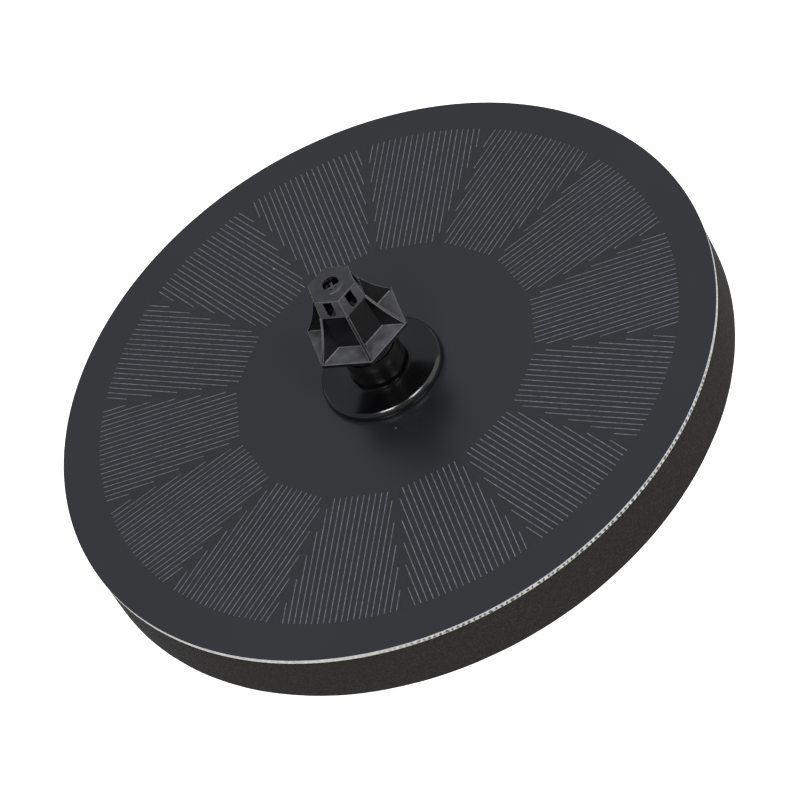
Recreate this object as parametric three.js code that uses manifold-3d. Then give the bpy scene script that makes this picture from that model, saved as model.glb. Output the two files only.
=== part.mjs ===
// A floating solar fountain pump, standing on its strainer. Millimetres, +Z up.
// The origin is the middle of the strainer's underside, on the axis of the disc, the motor and the nozzle.
import * as THREE from "three";
import { mergeVertices } from "three/addons/utils/BufferGeometryUtils.js";
import Module from "manifold-3d";

const wasm = await Module();
wasm.setup();

// Driving dimensions
const panelRadius = 90;
const panelTop = 38; // height of the panel's upper face above the strainer's underside
const filmThickness = 0.25;
const cellThickness = 0.2;
const boardThickness = 0.8;
const layerGap = 0.025; // left on each side of the cells
const foamThickness = 15;
const foamHole = 30; // radius
const housingRadius = 26;
const wall = 1.6;
const spigotRadius = 5.5;
const spigotTop = panelTop + 12;
const collarThickness = 2.5;
const skirtHeight = 18.8; // of the spray head's skirt above the panel
const headHeight = 35.9; // of the spray head's top above the panel
const clearance = 0.3; // left between pieces that are cut to fit each other

// Levels, from the floor up
const strainerRim = 14;
const sponge = [1.8, 4.4];
const coverPlate = [10.6, 12.2];
const chamberFloor = 12.8; // where the chamber's own rim ends, on its seal
const chamberCeiling = 18.4;
const motorFloor = chamberCeiling + 1.4;
const wellTop = 29.6; // of the dry well that the rotor turns in
const housingTop = 31.2;
const lidPlateTop = 32.6;
const lidTop = 36.1;
const boardTop = panelTop - filmThickness - cellThickness - 2 * layerGap;
const boardBottom = boardTop - boardThickness;
const foamBottom = boardBottom - foamThickness;

// Radii inside the housing
const wellRadius = 6; // inner
const wellWall = 0.8;
const chamberRadius = 14.4; // inner
const riserPlace = 19.6; // distance of the riser duct from the axis
const riserRadius = 3; // inner
const statorRadius = 14.4; // outer
const screwPlace = 20.2;

const quarter = Math.PI / 2;
const fountain = new THREE.Group();

const plastic = { color: 0x101012, roughness: 0.3, metalness: 0 };
const rubber = { color: 0x1d1d1e, roughness: 0.85, metalness: 0 };
const copper = { color: 0xb06a35, roughness: 0.35, metalness: 0.9 };
const steel = { color: 0xb9bcc0, roughness: 0.3, metalness: 1 };
const ceramic = { color: 0xe8e6df, roughness: 0.25, metalness: 0 };

function add(name, geometry, look) {
  const mesh = new THREE.Mesh(geometry, new THREE.MeshStandardMaterial(look));
  mesh.name = name;
  fountain.add(mesh);
  return mesh;
}

// A closed geometry as a solid, ready to be cut or joined
function solid(geometry) {
  const bare = geometry.index ? geometry.toNonIndexed() : geometry.clone();
  bare.deleteAttribute("normal");
  bare.deleteAttribute("uv");
  const merged = mergeVertices(bare, 1e-4);
  const corners = merged.index.array;
  const kept = [];
  for (let i = 0; i < corners.length; i += 3) {
    const [a, b, c] = corners.slice(i, i + 3);
    if (a !== b && b !== c && c !== a) kept.push(a, b, c);
  }
  return new wasm.Manifold(
    new wasm.Mesh({
      numProp: 3,
      vertProperties: new Float32Array(merged.attributes.position.array),
      triVerts: new Uint32Array(kept),
    }),
  );
}

function geometryOf(body) {
  const mesh = body.getMesh();
  const geometry = new THREE.BufferGeometry();
  geometry.setAttribute("position", new THREE.BufferAttribute(mesh.vertProperties, 3));
  geometry.setIndex(new THREE.BufferAttribute(mesh.triVerts, 1));
  return geometry;
}

// A shape of revolution about Z from [radius, height] points; one that starts and ends on the axis is full
function turned(points, segments = 24) {
  const full = points[0][0] === 0;
  const outline = full ? points : [...points, points[0]];
  const geometry = new THREE.LatheGeometry(outline.map(([r, z]) => new THREE.Vector2(r, z)), segments);
  return geometry.rotateX(quarter);
}

function ring(inner, outer, [low, high], segments = 24) {
  return turned([[inner, low], [outer, low], [outer, high], [inner, high]], segments);
}

function disc(radius, [low, high], segments = 24) {
  return turned([[0, low], [radius, low], [radius, high], [0, high]], segments);
}

function block([x0, x1], [y0, y1], [z0, z1]) {
  const box = new THREE.BoxGeometry(x1 - x0, y1 - y0, z1 - z0);
  return box.translate((x0 + x1) / 2, (y0 + y1) / 2, (z0 + z1) / 2);
}

// A flat outline raised from one level to another
function raised(shape, [low, high], curveSegments = 12) {
  const settings = { depth: high - low, bevelEnabled: false, curveSegments };
  return new THREE.ExtrudeGeometry(shape, settings).translate(0, 0, low);
}

function roundHole(radius) {
  return new THREE.Path().absarc(0, 0, radius, 0, 2 * Math.PI, true);
}

function plateWithHole(radius, hole, levels) {
  const shape = new THREE.Shape().absarc(0, 0, radius, 0, 2 * Math.PI, false);
  shape.holes.push(roundHole(hole));
  return raised(shape, levels, 48);
}

// Panel: 14 cells, each cut as one sector of a ring, between the board and the film
const cellCount = 14;
const cellSector = (2 * Math.PI) / cellCount;
const cellStart = THREE.MathUtils.degToRad(21.3); // direction of the first boundary between two cells
const cellOuter = 0.892 * panelRadius;
const cellInner = 0.45 * panelRadius; // distance of the straight inner edge
const cellGap = 1; // between neighbours
const cellOffset = [0.5, 0.8]; // the ring of cells is laminated slightly off the board's middle
const panelHole = spigotRadius + 0.8;

function cellShape() {
  const half = cellSector / 2;
  const edge = cellGap / 2;
  const start = Math.asin(edge / cellOuter) - half;
  const innerHalf = cellInner * Math.tan(half) - edge / Math.cos(half);
  return new THREE.Shape()
    .moveTo(cellInner, -innerHalf)
    .absarc(0, 0, cellOuter, start, -start, false)
    .lineTo(cellInner, innerHalf)
    .closePath();
}

add("front_film", plateWithHole(panelRadius, panelHole, [panelTop - filmThickness, panelTop]),
  { color: 0x34353c, roughness: 0.45, metalness: 0 });
for (let i = 0; i < cellCount; i += 1) {
  const levels = [boardTop + layerGap, boardTop + layerGap + cellThickness];
  const name = `solar_cell_${String(i + 1).padStart(2, "0")}`;
  const silicon = { color: 0x191b26, roughness: 0.3, metalness: 0.2 };
  const cell = add(name, raised(cellShape(), levels, 5), silicon);
  cell.rotation.z = cellStart + (i + 0.5) * cellSector;
  cell.position.set(...cellOffset, 0);
}
add("panel_board", plateWithHole(panelRadius, panelHole, [boardBottom, boardTop]),
  { color: 0xc9ccc4, roughness: 0.5, metalness: 0 });

// Float: a ring of closed-cell foam round the pump
add("foam_float", ring(foamHole, panelRadius - 0.2, [foamBottom, boardBottom - 0.05], 96),
  { color: 0x39352f, roughness: 0.95, metalness: 0 });

// Collar: clamps the panel to the lid, with a low notched lip round the tube
const collarBottom = panelTop + 0.05;
const collarTop = panelTop + collarThickness;
const lip = [7.9, 8.5];
const lipHeight = 0.5;
const collarRadii = [16.4, 16.6, 16.3, 15.7]; // at its foot, its widest, under the bevel and above it
const lipNotches = { count: 4, width: 3.2, first: 30 };

function collar() {
  let body = solid(turned([
    [spigotRadius + clearance, collarBottom], [collarRadii[0], collarBottom],
    [collarRadii[1], collarBottom + 0.9], [collarRadii[2], collarTop - 0.5], [collarRadii[3], collarTop],
    [lip[1], collarTop], [lip[1], collarTop + lipHeight], [lip[0], collarTop + lipHeight], [lip[0], collarTop],
    [spigotRadius + clearance, collarTop],
  ], 48));
  const { count, width, first } = lipNotches;
  const notch = solid(block([lip[0] - 1, lip[1] + 1], [-width / 2, width / 2], [collarTop, collarTop + 2]));
  for (let i = 0; i < count; i += 1) body = body.subtract(notch.rotate([0, 0, first + (360 / count) * i]));
  return geometryOf(body);
}
add("flange_collar", collar(), plastic);

// Riser tube: pushes over the spigot, and holds the core in its narrow upper bore
const tubeBottom = collarTop + 0.05;
const tubeTop = panelTop + skirtHeight - 1.2 - clearance;
const tubeStep = [panelTop + 10.5, panelTop + 11.1]; // where it narrows
const tubeRadii = [7.6, 6.9]; // below and above the step
const coreStem = 3.9;

add("riser_tube", turned([
  [spigotRadius + clearance, tubeBottom], [tubeRadii[0], tubeBottom], [tubeRadii[0], tubeStep[0]],
  [tubeRadii[1], tubeStep[1]], [tubeRadii[1], tubeTop], [coreStem + 0.2, tubeTop],
  [coreStem + 0.2, spigotTop + clearance], [spigotRadius + clearance, spigotTop + clearance],
]), plastic);

// Core: a hollow stem that carries four vanes up into the head's centre hole
const coreTip = panelTop + headHeight - 1;
const stemTop = tubeTop + 5;
const stemBore = 2.6;
const vaneReach = 1.75; // of a vane from the axis, above the stem
const vaneRoot = 3; // and inside it
const vaneHalf = 0.35; // half its thickness

function core() {
  let body = solid(turned([
    [stemBore, spigotTop + 0.6], [coreStem, spigotTop + 0.6], [coreStem, stemTop - 0.5],
    [coreStem - 0.5, stemTop], [stemBore, stemTop],
  ]));
  const foot = stemTop - 2.5;
  const vane = solid(block([-vaneReach, vaneReach], [-vaneHalf, vaneHalf], [foot, coreTip]));
  const root = solid(block([-vaneRoot, vaneRoot], [-vaneHalf, vaneHalf], [foot, stemTop - 0.6]));
  for (const quarterTurn of [0, 90]) body = body.add(vane.add(root).rotate([0, 0, quarterTurn]));
  return geometryOf(body);
}
add("spray_core", core(), plastic);

// Head: a slotted six-sided cap, six hollow-edged ribs and a flat skirt, all one moulding
const headTurn = 25.8; // degrees from +X to the first corner
const topCorner = 6.6; // distance of a corner from the axis, at the top
const bandCorner = 7.45; // at the foot of the cap
const bandHeight = 5.7;
const bodyCorner = [6.9, 7.65]; // of the sunken six-sided body, at its top and foot
const skirtCorner = 14;
const skirtThickness = 1.2;
const ribThickness = 1;
const ribHollow = 9.9; // distance from the axis that the rib's hollow edge is drawn towards
const cavity = 4.3; // radius inside the head
const coneRadii = [3.4, 2.8]; // of the low cone round the centre hole
const centreHole = 2.2;
const headTop = panelTop + headHeight;
const skirtTop = panelTop + skirtHeight;
const bandFoot = headTop - bandHeight;

// A six-sided frustum from [corner distance, height] points
function sixSided(points) {
  return solid(turned(points, 6)).rotate([0, 0, headTurn - 30]);
}

function rib() {
  const outline = new THREE.Shape()
    .moveTo(cavity + 0.5, skirtTop - skirtThickness)
    .lineTo(skirtCorner - 0.1, skirtTop - skirtThickness)
    .lineTo(skirtCorner - 0.1, skirtTop)
    .quadraticCurveTo(ribHollow, (skirtTop + bandFoot) / 2 - 0.8, bandCorner - 0.05, bandFoot + 0.2)
    .lineTo(cavity + 0.5, bandFoot + 0.2)
    .closePath();
  const settings = { depth: ribThickness, bevelEnabled: false, curveSegments: 10 };
  const plate = new THREE.ExtrudeGeometry(outline, settings);
  return solid(plate.translate(0, 0, -ribThickness / 2).rotateX(quarter));
}

// A window in the cap's wall with a round foot, closed above by a thin lip
function capSlot() {
  const width = 2.3;
  const foot = headTop - 5;
  const lipFoot = headTop - 0.4;
  const opening = new THREE.Shape()
    .moveTo(-width / 2, lipFoot)
    .absarc(0, foot + width / 2, width / 2, Math.PI, 2 * Math.PI, false)
    .lineTo(width / 2, lipFoot)
    .closePath();
  const cut = new THREE.ExtrudeGeometry(opening, { depth: 6, bevelEnabled: false, curveSegments: 5 });
  return solid(cut.rotateX(quarter).rotateZ(quarter).translate(3.6, 0, 0));
}

function head() {
  let body = sixSided([
    [0, skirtTop - skirtThickness], [skirtCorner, skirtTop - skirtThickness], [skirtCorner, skirtTop],
    [bodyCorner[1], skirtTop], [bodyCorner[0], bandFoot], [bandCorner, bandFoot], [topCorner, headTop],
    [0, headTop],
  ]);
  body = body.add(solid(turned([
    [0, headTop - 1], [coneRadii[0], headTop - 1], [coneRadii[0], headTop], [coneRadii[1], headTop + 0.35],
    [0, headTop + 0.35],
  ])));
  for (let i = 0; i < 6; i += 1) body = body.add(rib().rotate([0, 0, headTurn + 60 * i]));
  for (let i = 0; i < 6; i += 1) body = body.subtract(capSlot().rotate([0, 0, headTurn + 30 + 60 * i]));
  return geometryOf(body.subtract(solid(turned([
    [0, 0], [cavity, 0], [cavity, headTop - 2.2], [centreHole, headTop - 1.4], [centreHole, headTop + 2],
    [0, headTop + 2],
  ]))));
}
add("spray_head", head(), plastic);

// Lid: closes the motor space, leads the water from the side duct to the middle, and ends in the spigot
const shoulderRadius = 12; // under the panel's middle
const ductHalf = 2.8; // inner half width
const ductWall = 1.5;
const spigotBore = 4; // radius
const ringGroove = [spigotTop - 5.4, spigotTop - 3.8];

function lid() {
  const outer = ductHalf + ductWall;
  let body = solid(disc(housingRadius, [housingTop + 0.1, lidPlateTop], 40));
  body = body.add(solid(disc(shoulderRadius, [housingTop + 0.5, lidTop])));
  body = body.add(solid(block([0, riserPlace + outer], [-outer, outer], [housingTop + 0.5, lidTop])));
  body = body.add(solid(disc(spigotRadius, [lidTop - 1, spigotTop])));
  const ductLevels = [lidPlateTop, lidTop - 1.2];
  body = body.subtract(solid(block([0, riserPlace + ductHalf], [-ductHalf, ductHalf], ductLevels)));
  body = body.subtract(solid(disc(ductHalf, [0, lidPlateTop + 1], 20)).translate([riserPlace, 0, 0]));
  body = body.subtract(solid(disc(spigotBore, [lidPlateTop, spigotTop + 1])));
  const groove = solid(ring(spigotRadius - 0.9, spigotRadius + 4, ringGroove));
  return geometryOf(body.subtract(groove));
}
add("housing_lid", lid(), plastic);
add("panel_gasket",
  ring(spigotRadius + clearance, shoulderRadius - 0.4, [lidTop + 0.05, boardBottom - 0.05]), rubber);
add("spigot_o_ring",
  ring(spigotRadius - 0.8, spigotRadius + 0.2, [ringGroove[0] + 0.1, ringGroove[1] - 0.1]), rubber);

// Housing: motor cup, side duct, chamber wall and skirt, one moulding
const skirtEdge = 9;
const portHalf = 3;
const screwAngles = [60, 180, 300];
const pilotRadius = 0.95;
const leadAngle = 180;
const leadOffset = 1.6;
const leadRadius = 0.65;
const leadInlet = 28.85; // height at which the leads go through the wall
const grommetHalf = [3.2, 1.5]; // half width and half height

function housing() {
  const inner = housingRadius - wall;
  let body = solid(turned([
    [inner, skirtEdge], [housingRadius, skirtEdge], [housingRadius, housingTop], [inner, housingTop],
    [inner, motorFloor], [wellRadius, motorFloor], [wellRadius, chamberCeiling],
    [chamberRadius, chamberCeiling], [chamberRadius, chamberFloor], [chamberRadius + 1.4, chamberFloor],
    [chamberRadius + 1.4, chamberCeiling], [inner, chamberCeiling],
  ], 40));
  const duct = solid(disc(riserRadius + 1.3, [motorFloor - 0.5, housingTop], 20))
    .translate([riserPlace, 0, 0]);
  const port = solid(block([12, riserPlace + riserRadius + 1.3], [-portHalf - 1.3, portHalf + 1.3],
    [chamberFloor, chamberCeiling + 0.5]));
  body = body.add(duct).add(port);
  for (const angle of screwAngles) {
    const post = solid(disc(2.3, [chamberFloor, chamberCeiling + 0.5], 16)).translate([screwPlace, 0, 0]);
    body = body.add(post.rotate([0, 0, angle]));
  }
  body = body.subtract(solid(disc(chamberRadius, [0, chamberCeiling], 40)));
  const portReach = [12, riserPlace + riserRadius];
  body = body.subtract(solid(block(portReach, [-portHalf, portHalf], [0, chamberCeiling])));
  body = body.subtract(solid(disc(riserRadius, [0, housingTop + 1], 20)).translate([riserPlace, 0, 0]));
  for (const angle of screwAngles) {
    const pilot = solid(disc(pilotRadius, [0, chamberFloor + 4.6], 12)).translate([screwPlace, 0, 0]);
    body = body.subtract(pilot.rotate([0, 0, angle]));
  }
  const inlet = solid(block([inner - 1, housingRadius + 1], [-grommetHalf[0], grommetHalf[0]],
    [leadInlet - grommetHalf[1], leadInlet + grommetHalf[1]]));
  return geometryOf(body.subtract(inlet.rotate([0, 0, leadAngle])));
}
add("pump_housing", housing(), plastic);

// Rotor well: the dry cup that the rotor turns in, bonded by its flange to the housing's motor floor, with a
// socket in its roof for the shaft's upper seat
const wellFlange = 1.3; // width
function rotorWell() {
  const outer = wellRadius + wellWall;
  const foot = motorFloor + 0.05;
  const body = solid(turned([
    [wellRadius, foot], [outer + wellFlange, foot], [outer + wellFlange, foot + 0.6], [outer, foot + 0.6],
    [outer, wellTop], [0, wellTop], [0, wellTop - wellWall], [wellRadius, wellTop - wellWall],
  ], 40));
  return geometryOf(body.add(solid(ring(1.9, 3, [wellTop - 2.6, wellTop - 0.2], 16))));
}
add("rotor_well", rotorWell(), plastic);

// Motor: a four-pole core with a coil on each pole, its driver and the resin over them
const stator = [motorFloor + 1.2, motorFloor + 6.4];
const poleTip = wellRadius + wellWall + clearance;
const yokeInner = statorRadius - 2;
const coilPlace = [poleTip + 1.3, yokeInner - 0.6];

function statorCore() {
  let body = solid(ring(yokeInner, statorRadius, stator, 32));
  for (let i = 0; i < 4; i += 1) {
    const pole = solid(block([poleTip - 1, yokeInner + 1], [-1.1, 1.1], stator));
    const shoe = solid(block([poleTip - 1, poleTip + 1], [-3, 3], stator));
    body = body.add(pole.add(shoe).rotate([0, 0, 45 + 90 * i]));
  }
  return geometryOf(body.subtract(solid(disc(poleTip, [0, housingTop]))));
}
add("stator_core", statorCore(), steel);

function coil() {
  const [x0, x1] = coilPlace;
  const outer = solid(block([x0, x1], [-2.9, 2.9], [stator[0] - 0.9, stator[1] + 0.9]));
  const hole = solid(block([x0 - 1, x1 + 1], [-1.4, 1.4], [stator[0] - 0.1, stator[1] + 0.1]));
  return geometryOf(outer.subtract(hole));
}
for (let i = 0; i < 4; i += 1) {
  const winding = add(`stator_coil_${i + 1}`, coil(), copper);
  winding.rotation.z = (45 + 90 * i) * THREE.MathUtils.DEG2RAD;
}

const driver = [stator[1] + 1.1, stator[1] + 1.9];
add("driver_board", ring(wellRadius + wellWall + clearance, statorRadius, driver),
  { color: 0x1f5a36, roughness: 0.5, metalness: 0 });
add("driver_chip", block([-2, 2], [-12.4, -9.2], [driver[1] + 0.05, driver[1] + 1.1]),
  { color: 0x17181a, roughness: 0.5, metalness: 0 });
add("driver_capacitor", block([-1.6, 1.6], [9.6, 12], [driver[1] + 0.05, driver[1] + 1.2]),
  { color: 0xc9a45a, roughness: 0.4, metalness: 0 });

function potting() {
  const body = solid(disc(housingRadius - wall - 0.1, [wellTop + 0.2, housingTop - 0.2], 40));
  const riser = solid(disc(riserRadius + 1.4, [0, housingTop + 1], 20)).translate([riserPlace, 0, 0]);
  return geometryOf(body.subtract(riser));
}
add("potting_layer", potting(), { color: 0x25221f, roughness: 0.35, metalness: 0 });

// Leads: down beside the housing in the float's hole, and in through the grommet to the driver
function lead(side) {
  const turn = 2;
  const outside = foamHole - 1.6;
  const route = new THREE.CurvePath();
  const point = (x, z) => new THREE.Vector3(-x, side * leadOffset, z);
  route.add(new THREE.LineCurve3(point(outside, boardBottom - 0.1), point(outside, leadInlet + turn)));
  route.add(new THREE.QuadraticBezierCurve3(
    point(outside, leadInlet + turn), point(outside, leadInlet), point(outside - turn, leadInlet)));
  route.add(new THREE.LineCurve3(point(outside - turn, leadInlet), point(statorRadius - 1, leadInlet)));
  const section = new THREE.Shape().absarc(0, 0, leadRadius, 0, 2 * Math.PI, false);
  const settings = { steps: 20, extrudePath: route, bevelEnabled: false, curveSegments: 4 };
  return geometryOf(solid(new THREE.ExtrudeGeometry(section, settings)));
}
add("lead_positive", lead(1), { color: 0xa3211c, roughness: 0.5, metalness: 0 });
add("lead_negative", lead(-1), { color: 0x161616, roughness: 0.5, metalness: 0 });

function grommet() {
  const gap = 0.1;
  let body = solid(block([housingRadius - wall + gap, housingRadius + 0.3],
    [-grommetHalf[0] + gap, grommetHalf[0] - gap],
    [leadInlet - grommetHalf[1] + gap, leadInlet + grommetHalf[1] - gap]));
  for (const side of [1, -1]) {
    const hole = solid(disc(leadRadius + 0.15, [0, 60], 12).rotateY(quarter));
    body = body.subtract(hole.translate([0, side * leadOffset, leadInlet]));
  }
  return geometryOf(body.rotate([0, 0, leadAngle]));
}
add("lead_grommet", grommet(), rubber);

// Rotor: a ring magnet on the impeller's sleeve, turning on a fixed shaft between two rubber seats
const shaftRadius = 1;
const sleeve = 2;
const hubFoot = coverPlate[1] + 0.7;
const bladeLevels = [chamberFloor + 0.9, chamberCeiling - 1.9];
const backPlate = [bladeLevels[1], bladeLevels[1] + 0.8];
const magnet = [backPlate[1] + 0.3, wellTop - 3.9];
const shaft = [coverPlate[0] + 0.5, wellTop - wellWall - 0.3];

add("rotor_shaft", disc(shaftRadius, shaft, 20), ceramic);
const upperSeat = [wellTop - 2.5, wellTop - wellWall - 0.1];
const lowerSeat = [coverPlate[0] + 0.4, coverPlate[1]];
add("shaft_seat_upper", ring(shaftRadius + 0.02, 1.85, upperSeat, 20), rubber);
add("shaft_seat_lower", ring(shaftRadius + 0.02, 1.85, lowerSeat, 20), rubber);
const upperWasher = [wellTop - 3.3, wellTop - 2.8];
const lowerWasher = [coverPlate[1] + 0.1, coverPlate[1] + 0.5];
add("thrust_washer_upper", ring(shaftRadius + 0.05, 1.9, upperWasher, 20), ceramic);
add("thrust_washer_lower", ring(shaftRadius + 0.05, 1.9, lowerWasher, 20), ceramic);
add("magnet_rotor", ring(sleeve + 0.05, wellRadius - 0.5, magnet),
  { color: 0x2b2a2c, roughness: 0.6, metalness: 0.3 });

const impellerRadius = 12.6;
const bladeCount = 6;
const bladeHalf = 0.5; // half thickness
function impeller() {
  let body = solid(turned([
    [shaftRadius + 0.05, hubFoot], [2.8, hubFoot], [3.4, backPlate[0]],
    [impellerRadius, backPlate[0]], [impellerRadius, backPlate[1]], [sleeve, backPlate[1]],
    [sleeve, wellTop - 3.4], [shaftRadius + 0.05, wellTop - 3.4],
  ]));
  const levels = [bladeLevels[0], backPlate[0] + 0.3];
  for (let i = 0; i < bladeCount; i += 1) {
    const blade = solid(block([2.6, impellerRadius - 0.2], [-bladeHalf, bladeHalf], levels));
    body = body.add(blade.rotate([0, 0, (360 / bladeCount) * i]));
  }
  return geometryOf(body);
}
add("impeller", impeller(), { color: 0xd9d9d6, roughness: 0.4, metalness: 0 });

// Chamber cover: a plate with the inlet eye, three spokes to the lower shaft seat, and three screw holes
const inletEye = 6.2; // radius
const seatCup = 2.8; // radius
function chamberCover() {
  let body = solid(disc(housingRadius - wall - clearance, coverPlate, 40));
  body = body.subtract(solid(disc(inletEye, [0, coverPlate[1] + 1])));
  for (let i = 0; i < 3; i += 1) {
    const spoke = solid(block([seatCup - 0.4, inletEye + 0.8], [-0.6, 0.6], coverPlate));
    body = body.add(spoke.rotate([0, 0, 120 * i]));
  }
  body = body.add(solid(turned([
    [0, coverPlate[0] - 0.4], [seatCup, coverPlate[0] - 0.4], [seatCup, coverPlate[1]],
    [1.95, coverPlate[1]], [1.95, coverPlate[0] + 0.3], [0, coverPlate[0] + 0.3],
  ], 20)));
  for (const angle of screwAngles) {
    const hole = solid(disc(1.15, [0, coverPlate[1] + 1], 12)).translate([screwPlace, 0, 0]);
    body = body.subtract(hole.rotate([0, 0, angle]));
  }
  return geometryOf(body);
}
add("chamber_cover", chamberCover(), plastic);

// The seal follows the rim of the chamber and of the port beside it
function sealOutline(inset, levels) {
  const round = solid(disc(chamberRadius + inset, levels, 40));
  const reach = [12, riserPlace + riserRadius + inset];
  const port = solid(block(reach, [-portHalf - inset, portHalf + inset], levels));
  return round.add(port);
}
const sealLevels = [coverPlate[1] + 0.05, chamberFloor - 0.05];
add("chamber_seal", geometryOf(sealOutline(1.2, sealLevels).subtract(sealOutline(0.1, [0, 30]))), rubber);
screwAngles.forEach((angle, i) => {
  const screw = add(`cover_screw_${i + 1}`, turned([
    [0, coverPlate[0] - 1.3], [1.4, coverPlate[0] - 1.3], [1.9, coverPlate[0] - 0.9],
    [1.9, coverPlate[0] - 0.05], [0.8, coverPlate[0] - 0.05], [0.8, chamberFloor + 4],
    [0, chamberFloor + 4.4],
  ], 16), steel);
  screw.rotation.z = angle * THREE.MathUtils.DEG2RAD;
  screw.position.set(screwPlace, 0, 0).applyAxisAngle(new THREE.Vector3(0, 0, 1), screw.rotation.z);
});

// Strainer: a cup that slides over the housing's skirt, slotted all round and underneath
const strainerOuter = housingRadius + clearance + 1.5;
const sideSlots = 24;
const floorSlots = { count: 12, reach: [10, 22] };
const slotHalf = 0.9; // half width

function strainer() {
  let body = solid(turned([
    [0, 0], [strainerOuter - 0.8, 0], [strainerOuter, 0.8], [strainerOuter, strainerRim],
    [housingRadius + clearance, strainerRim], [housingRadius + clearance, wall], [0, wall],
  ], 40));
  for (let i = 0; i < sideSlots; i += 1) {
    const levels = [wall + 1, skirtEdge - 1];
    const slot = block([housingRadius - 1, strainerOuter + 1], [-slotHalf, slotHalf], levels);
    body = body.subtract(solid(slot).rotate([0, 0, (360 / sideSlots) * (i + 0.5)]));
  }
  for (let i = 0; i < floorSlots.count; i += 1) {
    const slot = block(floorSlots.reach, [-slotHalf, slotHalf], [-1, wall + 1]);
    body = body.subtract(solid(slot).rotate([0, 0, (360 / floorSlots.count) * (i + 0.5)]));
  }
  return geometryOf(body);
}
add("strainer_cover", strainer(), plastic);
add("strainer_sponge", disc(housingRadius - 0.2, sponge), { color: 0x2a2a2c, roughness: 1, metalness: 0 });

export default fountain;
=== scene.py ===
"""A floating solar fountain pump: a round solar panel on a foam float, a spray nozzle above, the pump below."""
import math

import bmesh
import bpy
from mathutils import Matrix, Quaternion, Vector, noise


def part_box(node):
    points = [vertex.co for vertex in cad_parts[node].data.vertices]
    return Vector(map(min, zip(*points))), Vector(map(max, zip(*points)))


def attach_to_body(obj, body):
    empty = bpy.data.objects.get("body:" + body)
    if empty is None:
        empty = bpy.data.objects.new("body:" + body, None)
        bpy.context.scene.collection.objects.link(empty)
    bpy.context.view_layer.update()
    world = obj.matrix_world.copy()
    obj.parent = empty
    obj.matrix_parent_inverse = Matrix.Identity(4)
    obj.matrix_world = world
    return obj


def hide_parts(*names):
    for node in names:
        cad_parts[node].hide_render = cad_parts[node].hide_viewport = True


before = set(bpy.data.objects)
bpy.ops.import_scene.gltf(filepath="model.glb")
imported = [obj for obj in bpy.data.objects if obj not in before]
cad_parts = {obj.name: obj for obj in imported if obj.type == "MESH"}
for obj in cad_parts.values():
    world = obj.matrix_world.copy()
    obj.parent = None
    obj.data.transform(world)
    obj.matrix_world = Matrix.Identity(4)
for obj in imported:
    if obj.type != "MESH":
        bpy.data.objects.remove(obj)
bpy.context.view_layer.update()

# ---- Studio ------------------------------------------------------------------------------------------------
# A white floor, lit from within as a light table is, a little further below the pump than the strainer comes
# down. Two softboxes above the lens and a low one on the right light it. The lens is long, 45 degrees above the
# water, and turned on its own axis so that the float leans.
MM = 0.001
panel_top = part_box("front_film")[1].z
panel_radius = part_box("front_film")[1].x


def linear(colour):
    """The linear colour of an sRGB hex value."""
    parts = (int(colour[i:i + 2], 16) / 255 for i in (1, 3, 5))
    return (*(c / 12.92 if c <= 0.04045 else ((c + 0.055) / 1.055) ** 2.4 for c in parts), 1)


def new_material(name, **sockets):
    """A material with one Principled shader; the sockets are given by name, with _ for a space."""
    material = bpy.data.materials.new(name)
    material.use_nodes = True
    shader = material.node_tree.nodes["Principled BSDF"]
    for socket, value in sockets.items():
        shader.inputs[socket.replace("_", " ")].default_value = value
    return material, shader


def new_piece(bm, name, materials, smooth=35):
    """The object of a bmesh: doubles merged, faces turned outwards, smooth but for edges sharper than smooth."""
    bmesh.ops.remove_doubles(bm, verts=bm.verts, dist=1e-7)
    bmesh.ops.recalc_face_normals(bm, faces=bm.faces)
    mesh = bpy.data.meshes.new(name)
    bm.to_mesh(mesh)
    bm.free()
    mesh.shade_smooth()
    mesh.set_sharp_from_angle(angle=math.radians(smooth))
    for material in materials:
        mesh.materials.append(material)
    piece = bpy.data.objects.new(name, mesh)
    bpy.context.scene.collection.objects.link(piece)
    return piece


def around(azimuth, elevation, distance, turn=0):
    """A place seen from the panel's middle, and the rotation of a camera or lamp there that looks back."""
    azimuth, elevation, turn = (math.radians(angle) for angle in (azimuth, elevation, turn))
    back = Vector((math.cos(elevation) * math.cos(azimuth), math.cos(elevation) * math.sin(azimuth),
                   math.sin(elevation)))
    rotation = back.to_track_quat("Z", "Y") @ Quaternion((0, 0, 1), turn)
    return Matrix.LocRotScale(back * distance, rotation, None)


aim = Matrix.Translation((0.13 * MM, -12.09 * MM, panel_top))
camera_place = (-88.18, 45.21, 13.86 * panel_radius, -31.26)  # azimuth, elevation, distance, turn
floor_level = -15.5 * MM
camera = bpy.data.objects.new("camera", bpy.data.cameras.new("camera"))
camera.data.lens = 220.15
camera.matrix_world = aim @ around(*camera_place)
bpy.context.scene.collection.objects.link(camera)
bpy.context.scene.camera = camera
bpy.context.scene.view_settings.view_transform = "Standard"

softboxes = {
    # name: azimuth, elevation, distance, width, height, power
    "left_softbox": (-119, 47, 1.2, 0.35, 0.35, 7.5),
    "right_softbox": (-57, 47, 1.2, 0.35, 0.35, 7),
    "side_softbox": (-12, 22, 1.3, 1.1, 1.1, 4),
}
for name, (azimuth, elevation, distance, width, height, power) in softboxes.items():
    light = bpy.data.lights.new(name, "AREA")
    light.shape = "RECTANGLE"
    light.size, light.size_y, light.energy = width, height, power
    lamp = bpy.data.objects.new(name, light)
    lamp.matrix_world = aim @ around(azimuth, elevation, distance)
    bpy.context.scene.collection.objects.link(lamp)

world = bpy.data.worlds.new("studio")
world.use_nodes = True
world.node_tree.nodes["Background"].inputs["Color"].default_value = linear("#d4d6da")
world.node_tree.nodes["Background"].inputs["Strength"].default_value = 0.62
bpy.context.scene.world = world

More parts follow.
